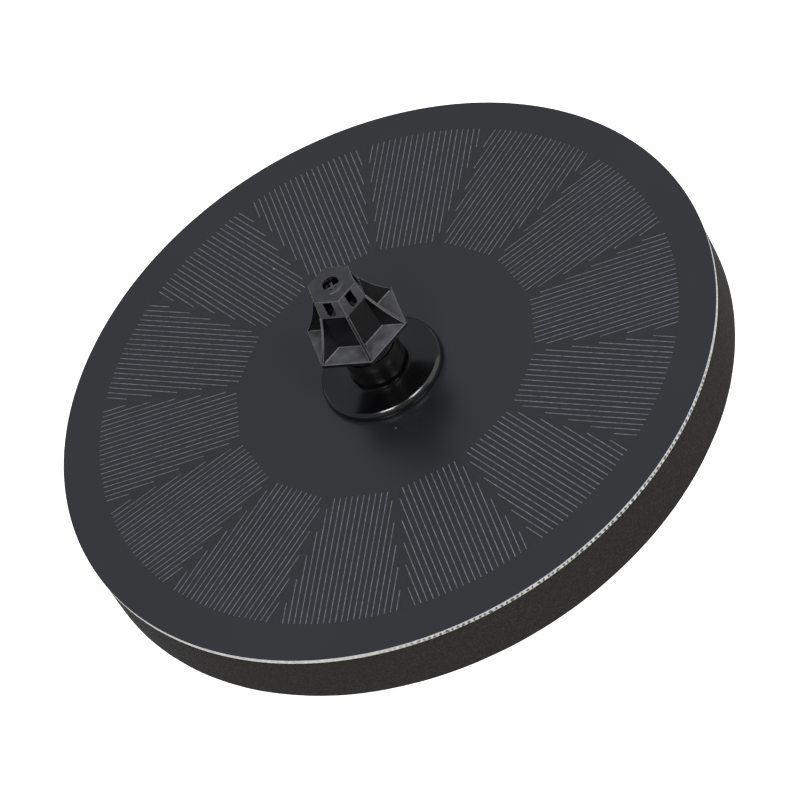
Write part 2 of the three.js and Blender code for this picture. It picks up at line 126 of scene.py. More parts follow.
# Opal acrylic glows evenly and hides where the floor ends
floor_white, _ = new_material("white_acrylic_floor", Base_Color=linear("#e6e6e6"), Roughness=0.7,
                              Emission_Color=linear("#ffffff"), Emission_Strength=0.95)
bm = bmesh.new()
bmesh.ops.create_circle(bm, cap_ends=True, segments=96, radius=6, matrix=Matrix.Translation((0, 0, floor_level)))
floor = new_piece(bm, "floor", [floor_white])

# ---- Front film --------------------------------------------------------------------------------------------
# Polyester film, laminated over the cells and the black board. It is cast and then rolled matt, so it is a soft
# dark mirror; over the cells it looks a shade bluer. Its cut rim is clear, and is painted pale grey as a painted
# highlight for the light it catches.
film_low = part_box("front_film")[0].z
panel_hole = 6.3 * MM
cell_count = 14
cell_sector = math.tau / cell_count
cell_start = math.radians(21.3)
cell_offset = Vector((0.5 * MM, 0.8 * MM, 0))
cell_outer = 0.892 * panel_radius
cell_inner = 0.45 * panel_radius
cell_gap = 1 * MM


def add_node(material, kind, inputs=(), stops=(), **settings):
    """Adds a node with its settings and returns its outputs. An input is given a value or an output to link
    from; stops are the places and colours of a ramp."""
    node = material.node_tree.nodes.new("ShaderNode" + kind)
    for setting, value in settings.items():
        setattr(node, setting, value)
    for i, (place, colour) in enumerate(stops):
        elements = node.color_ramp.elements
        element = elements[i] if i < len(elements) else elements.new(1)
        element.position, element.color = place, linear(colour)
    for name, value in dict(inputs).items():
        if isinstance(value, bpy.types.NodeSocket):
            material.node_tree.links.new(value, node.inputs[name])
        else:
            node.inputs[name].default_value = value
    return node.outputs


def attach(shader, **sockets):
    """Links nodes' outputs to the shader's sockets."""
    for socket, output in sockets.items():
        shader.id_data.links.new(output, shader.inputs[socket.replace("_", " ")])


def mottled(name, tones, lump, gloss, grit, depth, **sockets):
    """A finish with slow drifts of tone and gloss in lumps of one size, and a fine grit that deep on it. A real
    skin's grit is finer still, and is drawn as coarse as it needs to show."""
    material, shader = new_material(name, **sockets)
    at = add_node(material, "TexCoord")["Object"]
    lumps = add_node(material, "TexNoise", {"Vector": at, "Scale": 1 / lump, "Detail": 3})["Fac"]
    rough = add_node(material, "MapRange", {"Value": lumps, "From Min": 0.3, "From Max": 0.7,
                                            "To Min": gloss[0], "To Max": gloss[1]})["Result"]
    tone = add_node(material, "ValToRGB", {"Fac": lumps}, ((0.3, tones[0]), (0.7, tones[1])))["Color"]
    fine = add_node(material, "TexNoise", {"Vector": at, "Scale": 1 / grit, "Detail": 2})["Fac"]
    normal = add_node(material, "Bump", {"Height": fine, "Distance": depth})["Normal"]
    attach(shader, Base_Color=tone, Roughness=rough, Normal=normal)
    return material, shader


def matt_film(name, low, high):
    """Film over a dark ground: fine rolled texture, slow changes of tone, and a few specks of dust."""
    material, shader = mottled(name, (low, high), 40 * MM, (0.26, 0.33), 0.25 * MM, 0.004 * MM, IOR=1.62)
    tone = shader.inputs["Base Color"].links[0].from_socket
    at = add_node(material, "TexCoord")["Object"]
    specks = add_node(material, "TexVoronoi", {"Vector": at, "Scale": 1 / (14 * MM)})
    dust = add_node(material, "MapRange", {"Value": specks["Distance"], "From Min": 0.012, "From Max": 0.02,
                                           "To Min": 1, "To Max": 0})["Result"]
    rare = add_node(material, "MapRange", {"Value": specks["Color"], "From Min": 0.6,
                                           "From Max": 0.62})["Result"]
    shown = add_node(material, "Math", {0: dust, 1: rare}, operation="MULTIPLY")["Value"]
    colour = add_node(material, "Mix", {"Factor": shown, "A": tone, "B": linear("#8a8a8e")},
                      data_type="RGBA")["Result"]
    attach(shader, Base_Color=colour)
    return material


# Polyester has a high IOR, which gives the film its grey mirror tone; the ground under it is nearly black. Its cut
# rim is painted pale grey, a painted highlight for the light it scatters.
film_over_board = matt_film("matt_polyester_film_over_board", "#18191d", "#1b1c20")
film_over_cells = matt_film("matt_polyester_film_over_cells", "#16161d", "#191921")
film_rim_painted_highlight, _ = mottled("cut_polyester_film_rim", ("#747a86", "#9fa3ad"), 3 * MM, (0.25, 0.4), 0.2 * MM, 0.01 * MM,
                      IOR=1.62)


def cell_outline():
    """One cell in the sector along +X, half a gap inside it: a straight inner edge, two sides and an arc."""
    half = cell_sector / 2
    arc_half = half - math.asin(cell_gap / 2 / cell_outer)
    inner_half = cell_inner * math.tan(half) - cell_gap / 2 / math.cos(half)
    arc = [(2 * i / 12 - 1) * arc_half for i in range(13)]
    points = [(cell_inner, -inner_half), *((cell_outer * math.cos(a), cell_outer * math.sin(a)) for a in arc),
              (cell_inner, inner_half)]
    return [Vector((x, y, 0)) for x, y in points]


def cell_places():
    """The turn and shift of each cell."""
    for i in range(cell_count):
        yield Matrix.Translation(cell_offset) @ Matrix.Rotation(cell_start + (i + 0.5) * cell_sector, 4, "Z")


def verts_of(geometry):
    """The vertices in what an operator returns."""
    return [part for part in geometry if isinstance(part, bmesh.types.BMVert)]


def push_out(bm, faces, rise):
    """Makes a solid of flat faces, pushed out by the vector rise."""
    pushed = bmesh.ops.extrude_face_region(bm, geom=faces, use_keep_orig=True)["geom"]
    bmesh.ops.translate(bm, verts=verts_of(pushed), vec=rise)


def stands_for(piece, body, node):
    """Lets a piece ride its body, in place of a CAD node."""
    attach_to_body(piece, body)
    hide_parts(node)


bm = bmesh.new()
windows = []
for place in cell_places():
    corners = [bm.verts.new(place @ point) for point in cell_outline()]
    windows.append(corners)
    for pair in zip(corners, corners[1:] + corners[:1]):
        bm.edges.new(pair)
for radius, segments in ((panel_hole, 48), (panel_radius, 256)):
    bmesh.ops.create_circle(bm, segments=segments, radius=radius)
bmesh.ops.triangle_fill(bm, use_beauty=True, edges=bm.edges)
for corners in windows:
    face = bm.faces.get(corners) or bm.faces.new(corners)
    face.material_index = 1
bmesh.ops.translate(bm, verts=bm.verts, vec=(0, 0, film_low))
push_out(bm, bm.faces[:], (0, 0, panel_top - film_low))
# the rim's faces get the pale grey painted highlight
for face in bm.faces:
    if abs(face.normal.z) < 0.5:
        face.material_index = 2
film = new_piece(bm, "film_disc", [film_over_board, film_over_cells, film_rim_painted_highlight])
stands_for(film, "float", "front_film")

# ---- Cell fingers ------------------------------------------------------------------------------------------
# Silver paste, printed on each cell in twenty fine lines parallel to its middle line, and fired. They show
# through the film, so each is made as a low bar in the film's face. A real line is about 0.1 mm wide, and is
# made wider so that it shows.
finger_count = 20
finger_pitch = 1.62 * MM
finger_width = 0.22 * MM
finger_height = 0.01 * MM
finger_end = 0.888 * panel_radius

# Fired paste is a grey, half-metallic grain that glints unevenly along a line
silver_paste, _ = mottled("fired_silver_paste", ("#515159", "#7a7a82"), 1.2 * MM, (0.35, 0.6), 0.1 * MM,
                          0.003 * MM, Metallic=0.2)

bm = bmesh.new()
half = cell_sector / 2
for place in cell_places():
    for i in range(finger_count):
        y = (i - (finger_count - 1) / 2) * finger_pitch
        start = max(cell_inner, (abs(y) + cell_gap) / math.tan(half)) + 0.3 * MM
        end = math.sqrt(finger_end ** 2 - y ** 2)
        middle = Matrix.Translation(((start + end) / 2, y, panel_top))
        bmesh.ops.create_cube(bm, matrix=place @ middle @ Matrix.Diagonal(
            (end - start, finger_width, 2 * finger_height, 1)))
fingers = new_piece(bm, "cell_fingers", [silver_paste])
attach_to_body(fingers, "float")

# ---- Panel board -------------------------------------------------------------------------------------------
# Glass-fibre board, routed to a disc. The cut edge is pale resin. On the two sides where the cut crosses the warp
# squarely, the ends of its bundles show as a row of pits, painted near black as the shade inside them. A rim of
# resin fills the cells' layer.


def levels(node):
    """The lowest and highest level of a CAD node."""
    return [corner.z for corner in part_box(node)]


board_low, board_high = levels("panel_board")
resin_rim = 82.4 * MM
rim_top = film_low - 0.01 * MM
board_radius = panel_radius - 0.02 * MM
bundle_pitch = 1.5 * MM
bundle_height = 0.42 * MM
weave_turn = math.radians(-72)


def spun(bm, outline, steps=96):
    """Turns an outline of (radius, height) points about the axis; it is closed first if it starts off the axis."""
    points = [bm.verts.new((radius, 0, height)) for radius, height in outline]
    ends = points[1:] + (points[:1] if outline[0][0] > 0 else [])
    edges = [bm.edges.new(pair) for pair in zip(points, ends)]
    bmesh.ops.spin(bm, geom=points + edges, cent=(0, 0, 0), axis=(0, 0, 1), angle=math.tau, steps=steps,
                   use_merge=True)


def soften(bm, width, angle=30, segments=2):
    """Rounds every edge sharper than angle, as a mould or a tool leaves it, and returns the new faces."""
    sharp = [edge for edge in bm.edges
             if len(edge.link_faces) == 2 and edge.calc_face_angle(0) > math.radians(angle)]
    made = bmesh.ops.bevel(bm, geom=sharp, offset=width, segments=segments, profile=0.5, affect="EDGES",
                           clamp_overlap=True, material=-1)
    return made["faces"]


# Pale resin gives the light edge; the torn bundle ends are pits of uneven size in it, painted near black as a
# painted shade in the hollows. The bundles of a usual cloth are 0.5 mm apart, and are drawn three times as far
# apart so that they show.
glass_fibre, glass_shader = new_material("routed_glass_fibre_board", Roughness=0.5, IOR=1.52)
at = add_node(glass_fibre, "TexCoord")["Object"]
axes = add_node(glass_fibre, "SeparateXYZ", {"Vector": at})
bearing = add_node(glass_fibre, "Math", {0: axes["Y"], 1: axes["X"]}, operation="ARCTAN2")["Value"]
uneven = add_node(glass_fibre, "TexNoise", {"Vector": at, "Scale": 1 / (2.5 * MM), "Detail": 2})["Fac"]
wobble = add_node(glass_fibre, "MapRange", {"Value": uneven, "To Min": -4, "To Max": 4})["Result"]
bundles = round(math.tau * panel_radius / bundle_pitch)
wave = add_node(glass_fibre, "Math", {0: bearing, 1: bundles, 2: wobble}, operation="MULTIPLY_ADD")["Value"]
wave = add_node(glass_fibre, "Math", {0: wave}, operation="SINE")["Value"]
bundle_level = (board_low + board_high) / 2 + 0.1 * MM
level = add_node(glass_fibre, "MapRange", {"Value": axes["Z"], "From Min": bundle_level - bundle_height,
                                           "From Max": bundle_level + bundle_height, "To Min": -1,
                                           "To Max": 1})["Result"]
level = add_node(glass_fibre, "Math", {0: level, 1: level}, operation="MULTIPLY")["Value"]
pits = add_node(glass_fibre, "Math", {0: wave, 1: level}, operation="SUBTRACT")["Value"]
torn = add_node(glass_fibre, "TexNoise", {"Vector": at, "Scale": 1 / (0.6 * MM), "Detail": 3})["Fac"]
torn = add_node(glass_fibre, "MapRange", {"Value": torn, "From Min": 0.3, "From Max": 0.7, "To Min": -0.8,
                                          "To Max": 0.8})["Result"]
pits = add_node(glass_fibre, "Math", {0: pits, 1: torn}, operation="ADD")["Value"]
pits = add_node(glass_fibre, "MapRange", {"Value": pits, "From Min": -0.35, "From Max": 0.15})["Result"]
across = add_node(glass_fibre, "Math", {0: bearing, 1: 2, 2: -2 * weave_turn}, operation="MULTIPLY_ADD")["Value"]
across = add_node(glass_fibre, "Math", {0: across}, operation="COSINE")["Value"]
across = add_node(glass_fibre, "MapRange", {"Value": across, "From Min": 0.1, "From Max": 0.5})["Result"]
pits = add_node(glass_fibre, "Math", {0: pits, 1: across}, operation="MULTIPLY")["Value"]
cloudy = add_node(glass_fibre, "TexNoise", {"Vector": at, "Scale": 1 / (0.8 * MM), "Detail": 4})["Fac"]
resin = add_node(glass_fibre, "ValToRGB", {"Fac": cloudy}, ((0.3, "#7b7972"), (0.7, "#aaa89f")))["Color"]
# the pits are painted near black, a painted shade in the hollows
colour = add_node(glass_fibre, "Mix", {"Factor": pits, "A": resin, "B": linear("#1f1e1a")},
                  data_type="RGBA")["Result"]
hollows = add_node(glass_fibre, "MapRange", {"Value": pits, "To Min": 1, "To Max": 0})["Result"]
normal = add_node(glass_fibre, "Bump", {"Height": hollows, "Distance": 0.1 * MM, "Strength": 0.8})["Normal"]
attach(glass_shader, Base_Color=colour, Normal=normal)

bm = bmesh.new()
spun(bm, [(panel_hole, board_low), (board_radius, board_low), (board_radius, rim_top), (resin_rim, rim_top),
          (resin_rim, board_high), (panel_hole, board_high)], 256)
soften(bm, 0.05 * MM)
board = new_piece(bm, "laminate_board", [glass_fibre])
stands_for(board, "float", "panel_board")

# ---- Foam float --------------------------------------------------------------------------------------------
# Black closed-cell EVA foam, die-cut from 15 mm sheet. The cut walls show the fine open cells, a few of them given
# pale specks as painted glints, the edges are a little soft, and the lower one wanders slightly.
foam_low, foam_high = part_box("foam_float")
foam_hole = 30 * MM
foam_edge = 0.5 * MM
foam_wander = 0.12 * MM

# Dull black rubbery skin, brown where thin, with fine pale specks painted on a few cut cells as painted glints.
# The cells are about 0.2 mm wide, and are drawn coarser so that they show.
foam_cell = 0.55 * MM
cut_foam, foam_shader = new_material("cut_eva_foam", Roughness=1, Specular_IOR_Level=0.12)
at = add_node(cut_foam, "TexCoord")["Object"]
bubbles = add_node(cut_foam, "TexVoronoi", {"Vector": at, "Scale": 1 / foam_cell})
fine = add_node(cut_foam, "TexNoise", {"Vector": at, "Scale": 1 / (0.5 * MM), "Detail": 3,
                                       "Roughness": 0.6})["Fac"]
tone = add_node(cut_foam, "ValToRGB", {"Fac": fine}, ((0.3, "#151413"), (0.55, "#1f1d1c"), (0.75, "#2f2d2b")))
rare = add_node(cut_foam, "MapRange", {"Value": bubbles["Color"], "From Min": 0.93, "From Max": 0.97})["Result"]
middle = add_node(cut_foam, "MapRange", {"Value": bubbles["Distance"], "From Min": 0.15, "From Max": 0.3,
                                         "To Min": 1, "To Max": 0})["Result"]
# pale painted glints on a few cut cells
painted_glints = add_node(cut_foam, "Math", {0: rare, 1: middle}, operation="MULTIPLY")["Value"]
colour = add_node(cut_foam, "Mix", {"Factor": painted_glints, "A": tone["Color"], "B": linear("#55514d")},
                  data_type="RGBA")["Result"]
normal = add_node(cut_foam, "Bump", {"Height": bubbles["Distance"], "Distance": 0.12 * MM, "Strength": 0.7})
attach(foam_shader, Base_Color=colour, Normal=normal["Normal"])

bm = bmesh.new()
foam_walls = [foam_low.z + (foam_high.z - foam_low.z) * i / 6 for i in range(7)]
spun(bm, [(foam_hole, z) for z in reversed(foam_walls)] + [(foam_high.x, z) for z in foam_walls], 288)
soften(bm, foam_edge, segments=4)
for vert in bm.verts:
    place = vert.co
    depth = (foam_high.z - place.z) / (foam_high.z - foam_low.z)
    lump = noise.noise(place / (9 * MM)) + 0.5 * noise.noise(place / (3 * MM))
    outward = Vector((place.x, place.y, 0)).normalized()
    inset = foam_wander * (0.3 + 0.7 * depth) * (0.5 + 0.35 * lump)
    if place.xy.length > (foam_hole + foam_high.x) / 2:
        vert.co -= outward * inset
    if depth > 0.5:
        vert.co.z += foam_wander * (1 + 0.6 * lump) * (depth - 0.5)
foam = new_piece(bm, "foam_ring", [cut_foam])
stands_for(foam, "float", "foam_float")

# ---- Flange collar -----------------------------------------------------------------------------------------
# Black ABS, injection moulded and polished on its bevelled rim, with a low notched lip round the tube. The flat
# top is a shade duller than the rim.
collar_low, collar_high = levels("flange_collar")
collar_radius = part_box("flange_collar")[1].x
collar_shoulder = 15.7 * MM
lip_height = 0.5 * MM
lip_inner, lip_outer = 7.9 * MM, 8.5 * MM
spigot_bore = 5.8 * MM
notch_bearing, notch_half = 30, 11.5

# ABS is a deep black with an even skin; a polished mould gives mirror gloss, a blasted one a satin grey
gloss_abs, _ = mottled("polished_black_abs", ("#060607", "#09090a"), 8 * MM, (0.13, 0.22), 0.12 * MM, 0.002 * MM,
                       IOR=1.52)
satin_abs, _ = mottled("satin_black_abs", ("#0b0b0c", "#0f0f10"), 8 * MM, (0.38, 0.46), 0.12 * MM, 0.004 * MM,
                       IOR=1.52)

bm = bmesh.new()
top = collar_high - lip_height
spun(bm, [(spigot_bore, collar_low), (16.4 * MM, collar_low), (collar_radius, collar_low + 0.9 * MM),
          (16.3 * MM, top - 0.5 * MM), (collar_shoulder, top), (lip_outer, top), (lip_outer, collar_high),
          (lip_inner, collar_high), (lip_inner, top), (spigot_bore, top)], 180)
for vert in bm.verts:
    bearing = math.degrees(math.atan2(vert.co.y, vert.co.x))
    from_notch = abs((bearing - notch_bearing + 45) % 90 - 45)
    if vert.co.z > top + 0.1 * MM and from_notch < notch_half:
        vert.co.z = top + 0.02 * MM
soften(bm, 0.07 * MM, 40)
for face in bm.faces:
    face.material_index = int(face.normal.z > 0.95)
collar = new_piece(bm, "collar_moulding", [gloss_abs, satin_abs])
stands_for(collar, "float", "flange_collar")

# ---- Riser tube --------------------------------------------------------------------------------------------
# Black ABS tube, moulded in one with its step, pushed over the pump's spigot. The draft of the mould and a fine
# polish leave it the glossiest part.
tube_low, tube_high = levels("riser_tube")
tube_foot, tube_neck, tube_bore = 7.6 * MM, 6.9 * MM, 4.1 * MM
tube_step = panel_top + 11.1 * MM
spigot_stop = panel_top + 12.3 * MM
bm = bmesh.new()
spun(bm, [(spigot_bore, tube_low), (tube_foot, tube_low), (tube_foot, tube_step - 0.1 * MM),
          (tube_neck, tube_step), (tube_neck, tube_high), (tube_bore, tube_high), (tube_bore, spigot_stop),
          (spigot_bore, spigot_stop)])
soften(bm, 0.12 * MM)
tube = new_piece(bm, "riser_moulding", [gloss_abs])
stands_for(tube, "nozzle", "riser_tube")

# ---- Spray head --------------------------------------------------------------------------------------------
# One ABS moulding: a slotted six-sided cap, a sunken six-sided body, six hollow-edged ribs and a flat skirt. Its
# edges are crisp with a tiny round that catches the light; the rounds, the rib edges and the fillets at the rib
# feet are painted a paler grey as a painted highlight; the cap has a satin skin.
head_turn = math.radians(25.8)
head_low, head_high = levels("spray_head")
head_top = head_high - 0.35 * MM
skirt_top = head_low + 1.2 * MM
band_foot = head_top - 5.7 * MM
skirt_corner = 14 * MM
band_corner = 7.45 * MM
waist_corner = 6.9 * MM
foot_corner = 7.65 * MM
cap_corner = 6.6 * MM
cavity = 4.3 * MM
centre_hole = 2.2 * MM
rib_half = 0.42 * MM
rib_start, rib_root = skirt_corner - 0.25 * MM, 4.8 * MM
window_half = 1.15 * MM
window_foot, window_head = head_top - 5 * MM, head_top - 0.4 * MM
fillet = 0.2 * MM


def prism(bm, corners, rise):
    """A flat outline of points, pushed out by the vector rise."""
    push_out(bm, [bm.faces.new([bm.verts.new(corner) for corner in corners])], rise)


def turn_by(bm, verts, angle):
    """Turns vertices about the axis."""
    bmesh.ops.rotate(bm, verts=verts, cent=(0, 0, 0), matrix=Matrix.Rotation(angle, 3, "Z"))


def repeat_round(bm, count, first):
    """Copies what the bmesh holds round the axis, and turns it all by the angle first."""
    original = bm.verts[:] + bm.edges[:] + bm.faces[:]
    for i in range(1, count):
        copy = bmesh.ops.duplicate(bm, geom=original)["geom"]
        turn_by(bm, verts_of(copy), math.tau * i / count)
    turn_by(bm, bm.verts, first)


def combined(piece, *steps):
    """A bmesh of the piece after it was joined to, or cut by, other pieces; those and the piece are dropped."""
    for operation, other in steps:
        modifier = piece.modifiers.new(operation, "BOOLEAN")
        modifier.operation, modifier.object, modifier.solver = operation, other, "EXACT"
    bpy.context.view_layer.update()
    bm = bmesh.new()
    bm.from_object(piece, bpy.context.evaluated_depsgraph_get())
    for used in (piece, *(other for _, other in steps)):
        bpy.data.objects.remove(used)
    return bm


def flat_faces(piece):
    """Keeps large faces flat beside rounded edges."""
    modifier = piece.modifiers.new("weighted_normal", "WEIGHTED_NORMAL")
    modifier.keep_sharp = True
    return piece


# A spark-eroded mould gives the cap a grey satin skin; the rounded edges are painted a duller, paler grey, a
# painted highlight for the light they catch
cap_abs, _ = mottled("satin_cap_abs", ("#252527", "#313134"), 3 * MM, (0.34, 0.46), 0.15 * MM, 0.006 * MM,
                     IOR=1.52)
edge_highlight_abs, _ = mottled("abs_edge_painted_highlight", ("#3a3a3d", "#545458"), 3 * MM, (0.35, 0.5), 0.15 * MM, 0.006 * MM,
                        IOR=1.52)
head_finishes_and_highlight = [gloss_abs, cap_abs, edge_highlight_abs]


def paint_edge_highlight(faces):
    """Marks faces for the paler edge colour, a painted highlight."""
    for face in faces:
        face.material_index = 2


bm = bmesh.new()
spun(bm, [(0, head_low), (skirt_corner, head_low), (skirt_corner, skirt_top), (foot_corner + fillet, skirt_top),
          (7.63 * MM, skirt_top + fillet), (waist_corner, band_foot), (band_corner, band_foot),
          (cap_corner, head_top), (0, head_top)], 6)
rims = (
    # lowest and highest level, inner and outer limit, width of the round
    (skirt_top, skirt_top, 13 * MM, 15 * MM, 0.22 * MM),
    (band_foot, head_top, 6.5 * MM, 8 * MM, 0.12 * MM),
)
# each rim is rounded, and its round is painted paler as a highlight
for low, high, inner, outer, width in rims:
    rim = [edge for edge in bm.edges if edge.calc_face_angle(0) > 0.3 and all(
        low - 0.01 * MM < v.co.z < high + 0.01 * MM and inner < v.co.xy.length < outer for v in edge.verts)]
    paint_edge_highlight(bmesh.ops.bevel(bm, geom=rim, offset=width, segments=2, profile=0.5, affect="EDGES",
                        material=-1)["faces"])
# the fillet at the foot of the body is painted paler too, a painted highlight
paint_edge_highlight(face for face in bm.faces if skirt_top < face.calc_center_median().z < skirt_top + fillet)
turn_by(bm, bm.verts, head_turn)
body = new_piece(bm, "head_body", head_finishes_and_highlight)

# fillets along the feet of the ribs, painted paler as a highlight; they start inside the body
bm = bmesh.new()
foot_start, foot_end = 6 * MM, skirt_corner - 1.2 * MM
foot_half, foot_base, foot_top = rib_half + fillet, skirt_top - 0.1 * MM, skirt_top + 0.9 * fillet
prism(bm, [Vector((foot_start, y, z)) for y, z in (
    (-foot_half, foot_base), (foot_half, foot_base), (foot_half, skirt_top), (0.4 * MM, foot_top),
    (-0.4 * MM, foot_top), (-foot_half, skirt_top))], (foot_end - foot_start, 0, 0))
paint_edge_highlight(bm.faces)
repeat_round(bm, 6, head_turn)
rib_feet = new_piece(bm, "head_rib_feet", head_finishes_and_highlight)

bm = bmesh.new()
spun(bm, [(0, head_top - MM), (3.4 * MM, head_top - MM), (3.4 * MM, head_top), (2.8 * MM, head_high),
          (0, head_high)], 64)
soften(bm, 0.12 * MM)
cone = new_piece(bm, "head_cone", head_finishes_and_highlight)

# ribs, each with a hollow outer edge that is drawn as a curve through three points; their rounds are painted paler
# as a highlight
bm = bmesh.new()
rib_low, rib_high = head_low + 0.1 * MM, band_foot + 0.2 * MM
start, end = Vector((rib_start, 0, skirt_top)), Vector((band_corner - 0.05 * MM, 0, rib_high))
hollow = Vector((9.9 * MM, 0, (skirt_top + band_foot) / 2 - 0.8 * MM))
curve = [start.lerp(hollow, t / 16).lerp(hollow.lerp(end, t / 16), t / 16) for t in range(17)]
outline = [Vector((rib_root, 0, rib_low)), Vector((rib_start, 0, rib_low)), *curve,
           Vector((rib_root, 0, rib_high))]
prism(bm, [point + Vector((0, rib_half, 0)) for point in outline], (0, -2 * rib_half, 0))
paint_edge_highlight(soften(bm, 0.12 * MM, 40))
repeat_round(bm, 6, head_turn)
ribs = new_piece(bm, "head_ribs", head_finishes_and_highlight)

bm = bmesh.new()
spun(bm, [(0, head_low - MM), (cavity, head_low - MM), (cavity, head_top - 2.2 * MM),
          (centre_hole, head_top - 1.4 * MM), (centre_hole, head_high + MM), (0, head_high + MM)], 64)
hollow_core = new_piece(bm, "head_cavity", head_finishes_and_highlight)

bm = bmesh.new()
arc = [(math.pi * (1 + i / 10)) for i in range(11)]
rim = [(window_half * math.cos(a), window_foot + window_half + window_half * math.sin(a)) for a in arc]
rim = [(-window_half, window_head), *rim, (window_half, window_head)]
prism(bm, [Vector((3.6 * MM, y, z)) for y, z in rim], (6 * MM, 0, 0))
repeat_round(bm, 6, head_turn + math.pi / 6)
windows = new_piece(bm, "head_windows", head_finishes_and_highlight)

bm = combined(body, ("UNION", ribs), ("UNION", rib_feet), ("UNION", cone),
              ("DIFFERENCE", hollow_core), ("DIFFERENCE", windows))
soften(bm, 0.05 * MM, 62)
for face in bm.faces:
    middle = face.calc_center_median()
    outward = face.normal.dot(Vector((middle.x, middle.y, 0)).normalized()) > 0.5 or face.normal.z > 0.9
    on_cap = middle.z > band_foot + 0.05 * MM and middle.xy.length > centre_hole + 0.05 * MM
    if face.material_index == 0 and outward and on_cap:
        face.material_index = 1
head = flat_faces(new_piece(bm, "head_moulding", head_finishes_and_highlight))
stands_for(head, "head", "spray_head")

# ---- Spray core --------------------------------------------------------------------------------------------
# The fixed ABS core inside the head: a hollow stem with four vanes whose tips show in the centre hole, painted
# paler as a highlight.
core_low, core_high = levels("spray_core")
stem_top = core_high - 12.6 * MM
stem_bore, stem_radius = 2.6 * MM, 3.9 * MM
vane_half = 0.35 * MM
bm = bmesh.new()
spun(bm, [(stem_bore, core_low), (stem_radius, core_low), (stem_radius, stem_top - 0.5 * MM),
          (stem_radius - 0.5 * MM, stem_top), (stem_bore, stem_top)], 64)
soften(bm, 0.1 * MM)
stem = new_piece(bm, "core_stem", [])


def block(bm, low, high):
    """A box between two corners."""
    low, high = Vector(low), Vector(high)
    size = Matrix.Diagonal((*(high - low), 1))
    bmesh.ops.create_cube(bm, size=1, matrix=Matrix.Translation((low + high) / 2) @ size)


vanes = []
for turn in (0, math.pi / 2):
    for half, top in ((1.75 * MM, core_high), (3 * MM, stem_top - 0.6 * MM)):
        bm = bmesh.new()
        block(bm, (-half, -vane_half, stem_top - 2.5 * MM), (half, vane_half, top))
        turn_by(bm, bm.verts, turn)
        vanes.append(("UNION", new_piece(bm, "core_vane", [])))
bm = combined(stem, *vanes)
soften(bm, 0.1 * MM, 60)
# the vane tips are painted paler, a painted highlight where they show in the centre hole
paint_edge_highlight(face for face in bm.faces if face.calc_center_median().z > core_high - 0.3 * MM)
core = flat_faces(new_piece(bm, "core_moulding", head_finishes_and_highlight))
stands_for(core, "nozzle", "spray_core")

# ---- Solar cells -------------------------------------------------------------------------------------------
# Fourteen monocrystalline silicon cells, sawn and textured, each one sector of a ring, laid between the board
# and the film. The blue-black nitride coating is even, with a fine sparkle from the etched pyramids.
# Silicon has a high IOR, which gives the cells a cool metallic sheen
silicon, _ = mottled("etched_silicon_cell", ("#0d1020", "#151a30"), 12 * MM, (0.25, 0.35), 0.1 * MM, 0.005 * MM,
                     IOR=2.0)


def finish_nodes(material, *nodes):
    """Gives CAD nodes that stay their material."""
    for node in nodes:
        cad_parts[node].data.materials.clear()
        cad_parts[node].data.materials.append(material)


finish_nodes(silicon, *(f"solar_cell_{i + 1:02d}" for i in range(cell_count)))

# ---- Pump lid ----------------------------------------------------------------------------------------------
# ABS moulding that closes the pump above: a plate, a shoulder under the panel, the duct that leads the water to
# the middle, and the spigot with its groove. It is bonded to the housing's rim.
lid_low, lid_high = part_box("housing_lid")
housing_radius = lid_high.x
lid_plate = lid_low.z + 1.3 * MM
lid_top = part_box("panel_gasket")[0].z - 0.05 * MM
ring_low, ring_high = levels("spigot_o_ring")
riser_place = 19.6 * MM
duct_half = 2.8 * MM
duct_wall = 1.5 * MM
spigot_radius = 5.5 * MM
shoulder_radius = 12 * MM
groove_radius = 4.6 * MM
groove_low, groove_high = ring_low - 0.1 * MM, ring_high + 0.1 * MM


def upright(bm, radius, low, high, x=0, steps=48):
    """A rod of that radius between two levels, at x."""
    middle = Matrix.Translation((x, 0, (low + high) / 2))
    bmesh.ops.create_cone(bm, cap_ends=True, segments=steps, radius1=radius, radius2=radius, depth=high - low,
                          matrix=middle)


def tool(name, shape, *sizes, turns=(0,), **extra):
    """A hidden solid for a cut or a join: the shape's function with its sizes, once at each turn in degrees."""
    bm = bmesh.new()
    for turn in turns:
        kept = set(bm.verts)
        shape(bm, *sizes, **extra)
        turn_by(bm, [v for v in bm.verts if v not in kept], math.radians(turn))
    return new_piece(bm, name, [])


bm = bmesh.new()
spun(bm, [(0, lid_low.z), (housing_radius, lid_low.z), (housing_radius, lid_plate), (shoulder_radius, lid_plate),
          (shoulder_radius, lid_top), (spigot_radius, lid_top), (spigot_radius, groove_low),
          (groove_radius, groove_low), (groove_radius, groove_high), (spigot_radius, groove_high),
          (spigot_radius, lid_high.z - 0.4 * MM), (spigot_radius - 0.4 * MM, lid_high.z), (0, lid_high.z)])
plate = new_piece(bm, "lid_plate", [])
duct_outer = duct_half + duct_wall
duct_low = lid_low.z + 0.4 * MM
bm = combined(
    plate,
    ("UNION", tool("lid_duct", block, (0, -duct_outer, duct_low), (riser_place, duct_outer, lid_top))),
    ("UNION", tool("lid_duct_end", upright, duct_outer, duct_low, lid_top, riser_place)),
    ("DIFFERENCE", tool("lid_channel", block, (0, -duct_half, lid_plate),
                        (riser_place, duct_half, lid_top - 1.2 * MM))),
    ("DIFFERENCE", tool("lid_drop", upright, duct_half, 0, lid_top - 1.2 * MM, riser_place)),
    ("DIFFERENCE", tool("lid_bore", upright, 4 * MM, lid_plate, lid_high.z + MM)))
soften(bm, 0.15 * MM, 50)
lid = flat_faces(new_piece(bm, "lid_moulding", [satin_abs]))
stands_for(lid, "float", "housing_lid")

